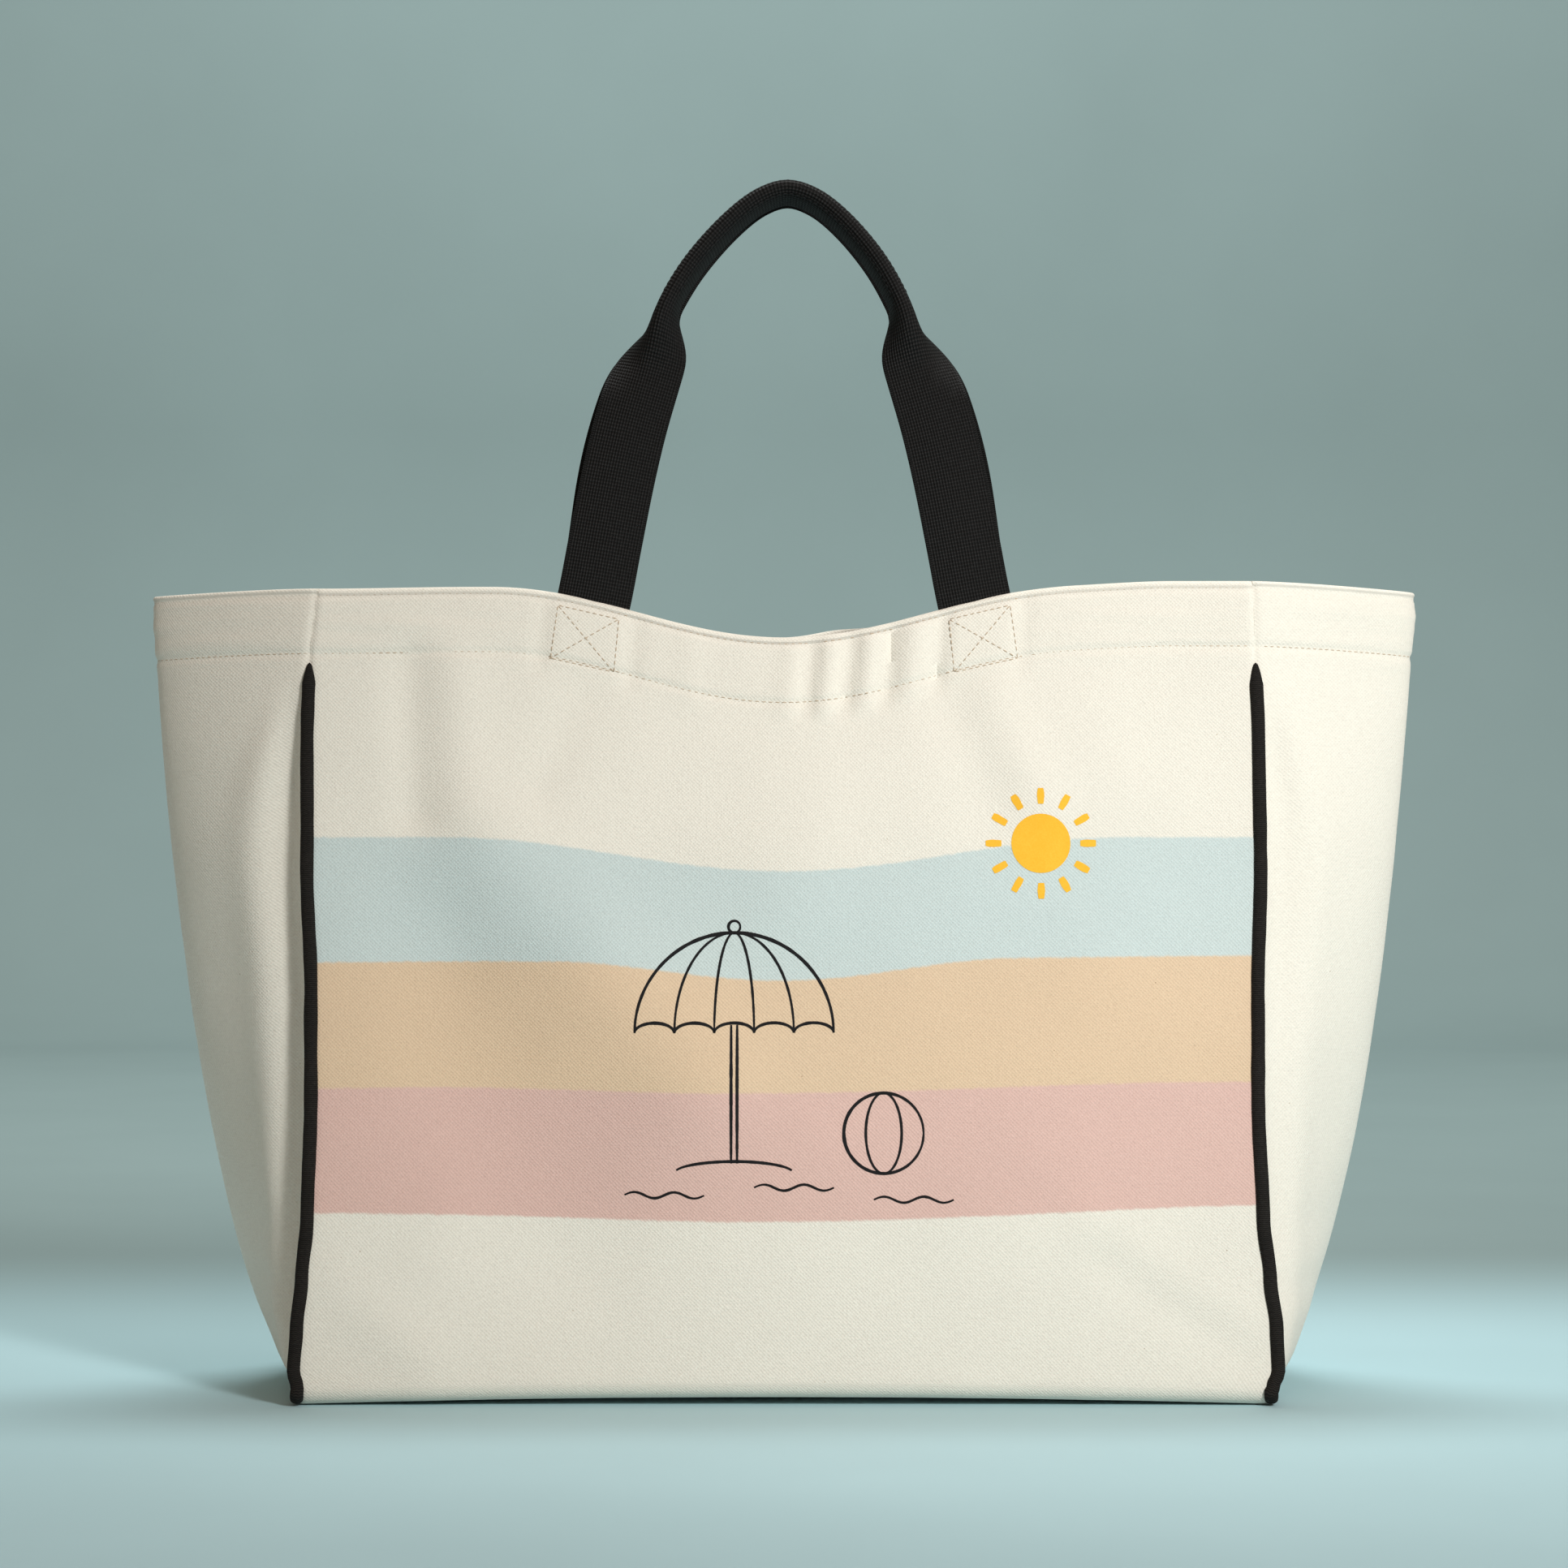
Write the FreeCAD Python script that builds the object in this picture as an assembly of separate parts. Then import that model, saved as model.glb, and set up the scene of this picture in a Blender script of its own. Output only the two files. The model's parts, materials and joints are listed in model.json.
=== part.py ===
import FreeCAD, Part
import math
import os

# Canvas beach bag with webbing handles. Millimetres. The origin is on the floor under
# the middle of the base: +X to the right as seen from the front, -Y to the front, +Z up.

os.makedirs("parts", exist_ok=True)

Vec = FreeCAD.Vector
ORIGIN = Vec(0, 0, 0)
ALONG_X = Vec(1, 0, 0)
ALONG_Y = Vec(0, 1, 0)

# Bag body
PANEL_WIDTH = 480.0        # front and back panel, side seam to side seam
BASE_DEPTH = 196.0         # base, front fold to back fold
MOUTH_DEPTH = 80.0         # outside of the front rim to outside of the back rim
SEAM_HEIGHT = 411.0        # rim above the floor at the side seams
FRONT_DIP = 26.0           # how far the front rim hangs at its middle
BACK_DIP = 18.0            # the same at the back
DIP_HALF_WIDTH = 150.0     # from the middle to where the rim is level
CORNER_DROP = 3.0          # how far the rim falls from a side seam to the gusset's crease
CREASE_BLUNT = 8.0         # length of each flank that the gusset's soft crease takes up
CLOTH = 1.2                # canvas thickness

# Hem: the cloth turned in at the rim, with the handle ends sewn in between
HEM_DEPTH = 37.0           # how far the turned-in cloth reaches down from the rim
HEM_EDGE = 3.5             # from the lower row of stitches to the turned-in cloth's edge
TOP_STITCH_DROP = 3.5      # upper row of stitches below the rim
SIDE_HEM = 1.6             # thickness of the turned-in cloth inside a gusset

# Bound side seams
BINDING_WIDTH = 7.0
BINDING_HEIGHT = 3.2       # how far the bound seam stands out from the cloth
FLOOR_GAP = 0.3            # the binding under a gusset stays this far off the floor

# Handles
STRAP_WIDTH = 38.0
STRAP_THICKNESS = 2.0
HANDLE_SPREAD = 195.0      # middle of one leg to middle of the other, at the rim
LEG_TILT = 11.0            # degrees that a handle's sewn end turns towards the middle
HANDLE_RISE = 206.0        # rim pivot to the middle of the grip's crown
NECK_RISE = 145.0          # rim pivot to the neck, where the strap is folded in half
NECK_SPREAD = 120.0        # neck to neck
SHOULDER = 30.0            # length over which the flat strap closes into the fold
GRIP_WIDTH = 11.0          # folded strap, across
GRIP_DEPTH = 17.0          # folded strap, front to back
GRIP_GAP = 0.6             # between the two grips where they stand together
HANDLE_STATIONS = 44       # cross-sections along a handle
PIVOT_CLEARANCE = 1.6      # from a sewn end's top up to the swinging axis
STRAP_START = 0.4          # from the axis up to the swinging strap

# Sewing thread
THREAD = 0.7               # width of a row of stitches
THREAD_HEIGHT = 0.4        # how far it stands proud of the cloth
BOX_INSET = 3.0            # box of stitches in from a handle end's sides
BOX_DROP = 6.6             # top of the box below the rim
BOX_FOOT = 1.5             # bottom of the box above the handle end's edge

# Worked out
CUTTER_REACH = 2 * PANEL_WIDTH    # longer than the bag, for tools that cut
HALF_PANEL = PANEL_WIDTH / 2
LEAN = math.atan((BASE_DEPTH - MOUTH_DEPTH) / 2 / SEAM_HEIGHT)
CLEAR_TOP = SEAM_HEIGHT + 30      # above every part of the rim, for tools that cut
SEAM_FOOT = BINDING_HEIGHT + FLOOR_GAP
POCKET = STRAP_THICKNESS + CLOTH  # thickness of the turned-in cloth at front and back
HEM_STITCH_DROP = HEM_DEPTH - HEM_EDGE
END_DEPTH = HEM_STITCH_DROP       # the lower stitches hold the handle ends' edges


def half_depth(z):
    """Outside of the front or back panel from the middle plane, at height z."""
    return BASE_DEPTH / 2 - z * math.tan(LEAN)


def rim_height(x, dip):
    """Height of the rim over x: level, hanging in the middle, falling past the seams."""
    x = abs(x)
    if x < DIP_HALF_WIDTH:
        return SEAM_HEIGHT - dip * (1 + math.cos(math.pi * x / DIP_HALF_WIDTH)) / 2
    past_seam = max(0.0, x - HALF_PANEL)
    return SEAM_HEIGHT - CORNER_DROP * past_seam / crease_reach(SEAM_HEIGHT)


def crease_reach(z):
    """How far the gusset's crease stands out from the side seams, at height z. The
    gusset keeps its width, so it opens outwards as the seams come together."""
    flank_squared = half_depth(SEAM_FOOT) ** 2 + (1.5 * CLOTH) ** 2
    return math.sqrt(flank_squared - half_depth(z) ** 2)


def below_rim(dip, top, bottom=CUTTER_REACH):
    """Everything between two drops below the rim line, right through the bag."""
    edge = HALF_PANEL + 2 * crease_reach(SEAM_HEIGHT)
    stops = 24
    xs = [DIP_HALF_WIDTH * (2 * i / stops - 1) for i in range(stops + 1)]
    xs = [-edge, -HALF_PANEL] + xs + [HALF_PANEL, edge]
    rim = [Vec(x, -CUTTER_REACH / 2, rim_height(x, dip)) for x in xs]
    outline = [p - Vec(0, 0, top) for p in rim] + [p - Vec(0, 0, bottom) for p in reversed(rim)]
    face = Part.Face(Part.makePolygon(outline + outline[:1]))
    return face.extrude(Vec(0, CUTTER_REACH, 0))


def block(x0, x1, y0, y1, z0, z1):
    """A box between two corners."""
    return Part.makeBox(x1 - x0, y1 - y0, z1 - z0, Vec(x0, y0, z0))


def lean_on_front(shape):
    """Moves a shape made flat (Y inwards, Z up the cloth) onto the leaning front."""
    shape = shape.copy()
    shape.rotate(ORIGIN, ALONG_X, -math.degrees(LEAN))
    shape.translate(Vec(0, -BASE_DEPTH / 2, 0))
    return shape


def to_back(shape):
    """The mirror image of a front piece, at the back."""
    return shape.mirror(ORIGIN, ALONG_Y)


def to_left(shape):
    """The mirror image of a right-hand piece, on the left."""
    return shape.mirror(ORIGIN, ALONG_X)


def front_layer(outer, inner):
    """A layer of the front wall between two depths below its outside."""
    plate = block(-HALF_PANEL, HALF_PANEL, outer, inner, -CLOTH, CLEAR_TOP)
    floor = block(-CUTTER_REACH, CUTTER_REACH, -CUTTER_REACH, CUTTER_REACH, -BASE_DEPTH, 0)
    return lean_on_front(plate).cut(floor)


def gusset_outline(z, inset):
    """Half-open chevron of the right gusset at height z, pulled in by inset."""
    h, reach = half_depth(z), crease_reach(z)
    flank = math.hypot(h, reach)
    # Outward normal of the front flank, and the flank moved in along it.
    inward = Vec(-h / flank * inset, reach / flank * inset, 0)
    seam = Vec(HALF_PANEL, -h, z) + inward
    towards_crease = Vec(reach, h, 0) / flank
    crease_x = seam.x + towards_crease.x * (-seam.y) / towards_crease.y
    crease = Vec(crease_x, 0, z)
    shoulder = crease - towards_crease * CREASE_BLUNT
    nose = Vec((crease.x + shoulder.x) / 2, 0, z)
    return seam, shoulder, nose


def gusset_solid(outer_inset, inner_inset):
    """The right gusset's wall between two insets, from the seam foot to past the rim."""
    levels = 12

    def filled(inset, low, high, extra):
        """Solid bounded by the chevron; extra carries its open side past the seams."""
        wires = []
        for i in range(levels + 1):
            z = low + (high - low) * (i / levels) ** 2
            seam, shoulder, nose = gusset_outline(max(z, SEAM_FOOT), inset)
            half = [seam + Vec(-extra, 0, 0), seam, shoulder, nose]
            other = [Vec(p.x, -p.y, p.z) for p in reversed(half[:-1])]
            points = [Vec(p.x, p.y, z) for p in half + other]
            wires.append(Part.makePolygon(points + points[:1]))
        return Part.makeLoft(wires, True, True)

    spill = 3 * CLOTH + SIDE_HEM
    outside = filled(outer_inset, SEAM_FOOT, CLEAR_TOP, spill)
    inside = filled(inner_inset, SEAM_FOOT, CLEAR_TOP, 2 * spill)
    wall = outside.cut(inside)
    beyond_seam = block(HALF_PANEL, CUTTER_REACH, -CUTTER_REACH, CUTTER_REACH, 0, CLEAR_TOP)
    return wall.common(beyond_seam)


def base_solid():
    """Base between the front and back panels."""
    skin = CLOTH / math.cos(LEAN)
    low, high = half_depth(0) - skin, half_depth(CLOTH) - skin
    corners = [Vec(0, -low, 0), Vec(0, low, 0), Vec(0, high, CLOTH), Vec(0, -high, CLOTH)]
    face = Part.Face(Part.makePolygon(corners + corners[:1]))
    face.translate(Vec(-HALF_PANEL, 0, 0))
    return face.extrude(Vec(PANEL_WIDTH, 0, 0))


def seam_binding():
    """Bound seam up the front right corner, with a pointed top under the hem stitches."""
    top = (rim_height(HALF_PANEL, 0) - HEM_STITCH_DROP - 2 * THREAD) / math.cos(LEAN)
    foot = SEAM_FOOT / math.cos(LEAN)
    left, right = -BINDING_WIDTH / 2, BINDING_WIDTH / 2
    outline = [Vec(left, 0, foot), Vec(right, 0, foot), Vec(right, 0, top - BINDING_WIDTH),
               Vec(0, 0, top), Vec(left, 0, top - BINDING_WIDTH)]
    face = Part.Face(Part.makePolygon(outline + outline[:1]))
    face.translate(Vec(HALF_PANEL, -BINDING_HEIGHT, 0))
    return lean_on_front(face.extrude(Vec(0, BINDING_HEIGHT, 0)))


def base_binding():
    """Bound seam under the right gusset's lower edge, from corner to corner."""
    reach = BASE_DEPTH / 2
    return block(HALF_PANEL, HALF_PANEL + BINDING_WIDTH, -reach, reach, FLOOR_GAP, SEAM_FOOT)


# Handle ends and the stitches over them lie in the front hem, right of the middle.
END_X = HANDLE_SPREAD / 2
RIM_AT_END = rim_height(END_X, FRONT_DIP)
END_TOP = rim_height(END_X + STRAP_WIDTH, FRONT_DIP) + STRAP_START
PIVOT_Z = END_TOP + PIVOT_CLEARANCE
PIVOT_Y = half_depth(PIVOT_Z)


def in_front_hem(shape, dip):
    """Turns a shape made about its own rim point and sets it at the right handle end."""
    shape = shape.copy()
    shape.rotate(ORIGIN, ALONG_Y, -LEG_TILT)
    shape.translate(Vec(END_X, 0, rim_height(END_X, dip) / math.cos(LEAN)))
    return lean_on_front(shape)


def handle_end(dip):
    """The strap's sewn end, between the panel and the turned-in cloth."""
    half = STRAP_WIDTH / 2
    strap = block(-half, half, CLOTH, CLOTH + STRAP_THICKNESS, -END_DEPTH, 2 * END_DEPTH)
    too_high = block(-CUTTER_REACH, CUTTER_REACH, -CUTTER_REACH, CUTTER_REACH,
                     END_TOP, 2 * CLEAR_TOP)
    return in_front_hem(strap, dip).cut(too_high)


def box_stitch(dip):
    """Box and cross of stitches on the outside of the hem, over a handle end."""
    half, low, high = STRAP_WIDTH / 2 - BOX_INSET, BOX_FOOT - END_DEPTH, -BOX_DROP
    corners = [Vec(-half, 0, low), Vec(half, 0, low), Vec(half, 0, high), Vec(-half, 0, high)]
    runs = [(corners[i], corners[(i + 1) % 4]) for i in range(4)]
    runs += [(corners[0], corners[2]), (corners[1], corners[3])]
    rows = []
    for start, end in runs:
        along = end - start
        row = block(-THREAD / 2, along.Length + THREAD / 2, -THREAD_HEIGHT, 0,
                    -THREAD / 2, THREAD / 2)
        row.rotate(ORIGIN, ALONG_Y, -math.degrees(math.atan2(along.z, along.x)))
        row.translate(start)
        rows.append(row)
    return in_front_hem(rows[0].multiFuse(rows[1:]).removeSplitter(), dip)


# A handle is made upright about its own pivot: X across, Z up, Y from front to back.
STRAP_MIDDLE = CLOTH + STRAP_THICKNESS / 2
GRIP_MEETING = GRIP_DEPTH / 2 + GRIP_GAP / 2
CROWN_TOP = HANDLE_RISE + GRIP_WIDTH / 2
HANDLE_LEAN = math.asin((PIVOT_Y - STRAP_MIDDLE - GRIP_MEETING) / CROWN_TOP)
PIVOT_X = END_X - (PIVOT_Z - RIM_AT_END) * math.tan(math.radians(LEG_TILT))
SPARE_LEG = STRAP_WIDTH / 4     # made below the pivot, then trimmed level


def handle_line():
    """Middle line of a handle from the right rim over the crown to the left rim."""
    half_neck, arch = NECK_SPREAD / 2, HANDLE_RISE - NECK_RISE
    closing = PIVOT_X - half_neck
    right = [
        (PIVOT_X + SPARE_LEG * math.tan(math.radians(LEG_TILT)), -SPARE_LEG),
        (half_neck + 0.71 * closing, 0.38 * NECK_RISE),
        (half_neck + 0.35 * closing, 0.74 * NECK_RISE),
        (half_neck, NECK_RISE),
        (0.75 * half_neck, NECK_RISE + 0.42 * arch),
        (0.40 * half_neck, NECK_RISE + 0.81 * arch),
    ]
    left = [(-x, z) for x, z in reversed(right)]
    line = Part.BSplineCurve()
    line.interpolate([Vec(x, 0, z) for x, z in right + [(0.0, HANDLE_RISE)] + left])
    return line


def neck_distance():
    """From the start of the handle's middle line to its neck."""
    return math.hypot(NECK_RISE + SPARE_LEG, PIVOT_X - NECK_SPREAD / 2)


def strap_section(at):
    """Width and depth of the strap at a distance from the start of a leg."""
    closed = min(1.0, max(0.0, (at - neck_distance() + SHOULDER) / SHOULDER))
    closed = closed * closed * (3 - 2 * closed)
    width = STRAP_WIDTH + (GRIP_WIDTH - STRAP_WIDTH) * closed
    depth = STRAP_THICKNESS + (GRIP_DEPTH - STRAP_THICKNESS) * closed
    return width, depth


def along_handle(section, trimmed=0):
    """Loft along the handle's middle line, less the trimmed cross-sections at each end.
    section(distance from the nearer end) gives across offset, depth offset, width, depth."""
    line = handle_line()
    length = line.length()
    wires = []
    for i in range(trimmed, HANDLE_STATIONS + 1 - trimmed):
        distance = length * i / HANDLE_STATIONS
        parameter = line.parameterAtDistance(distance, line.FirstParameter)
        middle = line.value(parameter)
        tangent = line.tangent(parameter)[0]
        outwards = Vec(tangent.z, 0, -tangent.x)
        across, back, width, depth = section(min(distance, length - distance))
        half_w, half_d = width / 2, depth / 2
        cut = 0.3 * min(half_w, half_d)
        corners = [(-half_w, -half_d + cut), (-half_w + cut, -half_d), (half_w - cut, -half_d),
                   (half_w, -half_d + cut), (half_w, half_d - cut), (half_w - cut, half_d),
                   (-half_w + cut, half_d), (-half_w, half_d - cut)]
        points = [middle + outwards * (across + w) + ALONG_Y * (back + d) for w, d in corners]
        wires.append(Part.makePolygon(points + points[:1]))
    return Part.makeLoft(wires, True, True)


def on_pivot(shape):
    """Leans a handle made upright and sets it on its pivot line at the front rim."""
    shape = shape.copy()
    shape.translate(Vec(0, STRAP_MIDDLE, 0))
    shape.rotate(ORIGIN, ALONG_X, -math.degrees(HANDLE_LEAN))
    shape.translate(Vec(0, -PIVOT_Y, PIVOT_Z))
    return shape


def handle_strap():
    """One handle's strap above the rim: flat legs, folded in half over the grip."""
    def section(at):
        return (0.0, 0.0) + strap_section(at)

    strap = along_handle(section)
    spare = block(-HANDLE_SPREAD, HANDLE_SPREAD, -GRIP_DEPTH, GRIP_DEPTH,
                  -2 * STRAP_WIDTH, STRAP_START)
    return on_pivot(strap.cut(spare))


def grip_stitching():
    """Row of stitches that holds the fold, on the grip's outer side near its front."""
    trimmed = math.ceil(neck_distance() / handle_line().length() * HANDLE_STATIONS) + 1
    row_setback = GRIP_DEPTH / 4

    def section(_):
        return GRIP_WIDTH / 2 + THREAD_HEIGHT / 2, -row_setback, THREAD_HEIGHT, THREAD

    return on_pivot(along_handle(section, trimmed))


def save(name, *solids):
    """Writes one node's STEP file."""
    shape = solids[0] if len(solids) == 1 else Part.makeCompound(list(solids))
    if not shape.isValid():
        raise ValueError(name + " is not a valid solid")
    shape.exportStep("parts/" + name + ".step")
    box = shape.optimalBoundingBox()
    print(f"{name:24s} solids {len(shape.Solids)} volume {shape.Volume:10.1f}"
          f" x {box.XMin:7.1f} {box.XMax:7.1f} y {box.YMin:7.1f} {box.YMax:7.1f}"
          f" z {box.ZMin:6.1f} {box.ZMax:6.1f}")


def build():
    panel_layer = front_layer(0.0, CLOTH)
    save("front_panel", panel_layer.common(below_rim(FRONT_DIP, 0)))
    save("back_panel", to_back(panel_layer.common(below_rim(BACK_DIP, 0))))
    save("base_panel", base_solid())

    gusset = gusset_solid(0.0, CLOTH).common(below_rim(FRONT_DIP, 0))
    save("right_gusset", gusset)
    save("left_gusset", to_left(gusset))

    hem_layer = front_layer(CLOTH, CLOTH + POCKET)
    turned_front, turned_back = (below_rim(dip, 0, HEM_DEPTH) for dip in (FRONT_DIP, BACK_DIP))
    side_hem = gusset_solid(CLOTH, CLOTH + SIDE_HEM).common(turned_front)
    front_end, back_end = handle_end(FRONT_DIP), to_back(handle_end(BACK_DIP))
    front_ends, back_ends = [front_end, to_left(front_end)], [back_end, to_left(back_end)]
    front_hem = hem_layer.common(turned_front)
    back_hem = to_back(hem_layer.common(turned_back))
    save("front_hem", front_hem.cut(front_ends))
    save("back_hem", back_hem.cut(back_ends))
    save("right_hem", side_hem)
    save("left_hem", to_left(side_hem))
    for face, ends in (("front", front_ends), ("back", back_ends)):
        save(face + "_right_handle_end", ends[0])
        save(face + "_left_handle_end", ends[1])

    corner = seam_binding()
    save("front_right_binding", corner)
    save("front_left_binding", to_left(corner))
    save("back_right_binding", to_back(corner))
    save("back_left_binding", to_left(to_back(corner)))
    save("right_base_binding", base_binding())
    save("left_base_binding", to_left(base_binding()))

    thread_layer = front_layer(-THREAD_HEIGHT, 0.0)
    side_thread = gusset_solid(-THREAD_HEIGHT, 0.0)
    for name, drop in (("rim_stitching", TOP_STITCH_DROP), ("hem_stitching", HEM_STITCH_DROP)):
        front_row = below_rim(FRONT_DIP, drop, drop + THREAD)
        front, side = thread_layer.common(front_row), side_thread.common(front_row)
        back = to_back(thread_layer.common(below_rim(BACK_DIP, drop, drop + THREAD)))
        save(name, front, back, side, to_left(side))
    front_box, back_box = box_stitch(FRONT_DIP), to_back(box_stitch(BACK_DIP))
    save("handle_end_stitching", front_box, to_left(front_box), back_box, to_left(back_box))

    strap, stitching = handle_strap(), grip_stitching()
    save("front_handle_strap", strap)
    save("front_grip_stitching", stitching)
    save("back_handle_strap", to_back(strap))
    save("back_grip_stitching", to_back(stitching))

    print(f"pivot y {PIVOT_Y:.3f} z {PIVOT_Z:.3f}"
          f" lean {math.degrees(LEAN):.2f} handle lean {math.degrees(HANDLE_LEAN):.2f}")


build()
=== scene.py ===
import json
import math

import bmesh
import bpy
from mathutils import Matrix, Vector, noise


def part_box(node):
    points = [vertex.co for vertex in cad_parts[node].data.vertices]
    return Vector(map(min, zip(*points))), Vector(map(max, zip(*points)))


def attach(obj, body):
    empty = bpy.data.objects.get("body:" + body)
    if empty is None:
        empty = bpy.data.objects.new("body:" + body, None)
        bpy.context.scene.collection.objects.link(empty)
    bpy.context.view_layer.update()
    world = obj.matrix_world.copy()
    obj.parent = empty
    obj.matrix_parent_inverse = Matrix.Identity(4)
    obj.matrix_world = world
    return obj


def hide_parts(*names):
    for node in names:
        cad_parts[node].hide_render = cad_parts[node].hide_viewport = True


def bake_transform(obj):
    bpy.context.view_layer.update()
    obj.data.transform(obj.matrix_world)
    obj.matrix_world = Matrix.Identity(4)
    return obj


bl_info = {
    "name": "Canvas Beach Bag",
    "version": (1, 0, 0),
    "blender": (4, 5, 0),
    "location": "3D View > Sidebar > Beach Bag",
    "description": "Builds the cloth, tape, webbing, stitches and print of a canvas beach bag",
    "category": "Add Mesh",
}

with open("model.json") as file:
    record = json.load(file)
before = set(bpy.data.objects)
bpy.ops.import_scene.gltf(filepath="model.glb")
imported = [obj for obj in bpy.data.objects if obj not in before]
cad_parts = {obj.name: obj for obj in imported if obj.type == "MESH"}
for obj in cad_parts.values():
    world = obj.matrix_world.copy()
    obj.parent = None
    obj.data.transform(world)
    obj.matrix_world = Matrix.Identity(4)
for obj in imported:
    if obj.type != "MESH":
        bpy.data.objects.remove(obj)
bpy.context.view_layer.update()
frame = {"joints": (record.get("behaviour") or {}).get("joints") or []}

# Places taken from the frame.
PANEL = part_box("front_panel")
HALF_WIDTH = PANEL[1].x
HALF_BASE = -PANEL[0].y
RIM = PANEL[1].z
HALF_MOUTH = -PANEL[1].y + 0.0012
SLOPE = (HALF_BASE - HALF_MOUTH) / RIM
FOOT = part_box("right_gusset")[0].z
TAPE_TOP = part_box("front_right_binding")[1].z - 0.0045
PIVOT = {"front": Vector(frame["joints"][0]["pos_m"]), "back": Vector(frame["joints"][1]["pos_m"])}
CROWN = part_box("front_handle_strap")[1].z

MM = 0.001
FRONT_DIP, BACK_DIP, DIP_HALF = 26 * MM, 22.5 * MM, 150 * MM
STRAP_SETBACK = 2.2 * MM
GUSSET_HALF = 97.5 * MM
HANDLE_LEAN = math.radians(7.83)
LEFT, RIGHT, FRONT, BACK = -1, 1, -1, 1


# ---------------------------------------------------------------- settings

def length(name, description, default):
    return bpy.props.FloatProperty(name=name, description=description, default=default,
                                   min=0.0, precision=5, subtype="DISTANCE", unit="LENGTH")


def colour(name, description, default):
    return bpy.props.FloatVectorProperty(name=name, description=description, default=default,
                                         size=3, min=0.0, max=1.0, subtype="COLOR")


class BagSizes(bpy.types.PropertyGroup):
    """Sizes of the cloth, tape, webbing and thread."""
    cloth: length("Cloth", "Thickness of the canvas", 1.2 * MM)
    rim_fold: length("Rim fold", "Radius of the fold along the rim", 2.4 * MM)
    side_fold: length("Side rim fold", "Radius of the fold along a gusset's rim", 1.5 * MM)
    hem: length("Hem", "Depth of the turned-in hem", 37 * MM)
    top_row: length("Upper stitches", "Distance of the upper row from the rim", 3.5 * MM)
    low_row: length("Lower stitches", "Distance of the lower row from the rim", 33.5 * MM)
    pitch: length("Stitch pitch", "Distance from one stitch to the next", 3.5 * MM)
    thread: length("Thread", "Thickness of the sewing thread", 0.7 * MM)
    base_bend: length("Base bend", "Radius of the cloth round the bottom edge", 8 * MM)
    belly: length("Belly", "How far the front and back swell", 7 * MM)
    tape_width: length("Tape width", "Width of the seam tape", 7 * MM)
    tape_height: length("Tape height", "How far the seam tape stands proud", 3.0 * MM)
    webbing_width: length("Webbing width", "Width of the handle webbing", 38 * MM)
    webbing: length("Webbing", "Thickness of the handle webbing", 2.0 * MM)
    yarn: length("Yarn", "Distance between the canvas's yarns", 0.95 * MM)


class BagColours(bpy.types.PropertyGroup):
    """Colours of the cloth, print, tape and webbing."""
    canvas: colour("Canvas", "Undyed cotton", (0.84, 0.815, 0.725))
    # The inside is the same canvas as the outside, painted darker and warmer as shade inside the bag.
    shaded_inside: colour("Inside", "Unprinted inside of the canvas", (0.80, 0.76, 0.66))
    sky: colour("Upper stripe", "Pale blue band", (0.60, 0.70, 0.69))
    sand: colour("Middle stripe", "Tan band", (0.76, 0.58, 0.40))
    shell: colour("Lower stripe", "Pink band", (0.74, 0.51, 0.45))
    ink: colour("Ink", "Line drawing", (0.008, 0.008, 0.009))
    sun: colour("Sun", "Printed sun", (1.0, 0.53, 0.035))
    tape: colour("Seam tape", "Cotton tape over the seams", (0.012, 0.0105, 0.009))
    webbing: colour("Webbing", "Handle webbing", (0.0082, 0.0082, 0.0082))
    thread: colour("Thread", "Sewing thread in the canvas", (0.54, 0.44, 0.33))
    floor: colour("Floor", "Floor under the bag", (0.47, 0.68, 0.73))
    wall: colour("Backdrop", "Wall behind the bag", (0.245, 0.325, 0.325))


def sizes():
    return bpy.context.scene.bag_sizes


def colours():
    return bpy.context.scene.bag_colours


# ---------------------------------------------------------------- shape of the cloth

def smooth(low, high, value):
    t = min(1.0, max(0.0, (value - low) / (high - low)))
    return t * t * (3 - 2 * t)


def bell(t):
    return (1 + math.cos(math.pi * min(1.0, max(-1.0, t)))) / 2


def hump(value, middle, width):
    return math.exp(-((value - middle) / width) ** 2)


def ruffle(seed, *where):
    """Smooth wander between -1 and 1, the same each time."""
    x, y = (list(where) + [0.0])[:2]
    return noise.noise(Vector((x, y, 7.31 * seed + 0.37)))


def fold(x, z, start, end, width, height):
    """Soft ridge along a line on a panel, fading at its ends."""
    ax, az, bx, bz = start[0] * MM, start[1] * MM, end[0] * MM, end[1] * MM
    run = math.hypot(bx - ax, bz - az)
    ux, uz = (bx - ax) / run, (bz - az) / run
    along = ((x - ax) * ux + (z - az) * uz) / run
    across = (x - ax) * uz - (z - az) * ux
    over = max(0.0, abs(along - 0.5) - 0.35) * run / (width * MM)
    return height * MM * math.exp(-(across / (width * MM)) ** 2 - over ** 2)


def depth_at(z):
    """Distance of the front and back cloth from the middle plane."""
    return HALF_BASE - z * SLOPE


def reach_at(z):
    """How far a gusset's crease stands out past its seams."""
    return math.sqrt(max(0.0, depth_at(FOOT) ** 2 - depth_at(z) ** 2)) + 1.8 * MM * (1 - z / RIM)


def rim_at(x, side):
    """Height of the rim over the front or back panel."""
    dip = FRONT_DIP if side == FRONT else BACK_DIP
    z = RIM - dip * bell(x / DIP_HALF)
    if side == BACK:
        z += 2.2 * MM * hump(x, 0.027, 0.016) - 0.8 * MM
    else:
        z += 3.0 * MM * smooth(0.125, 0.20, x) - 0.9 * MM * smooth(0.16, 0.235, -x)
    return z


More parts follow.
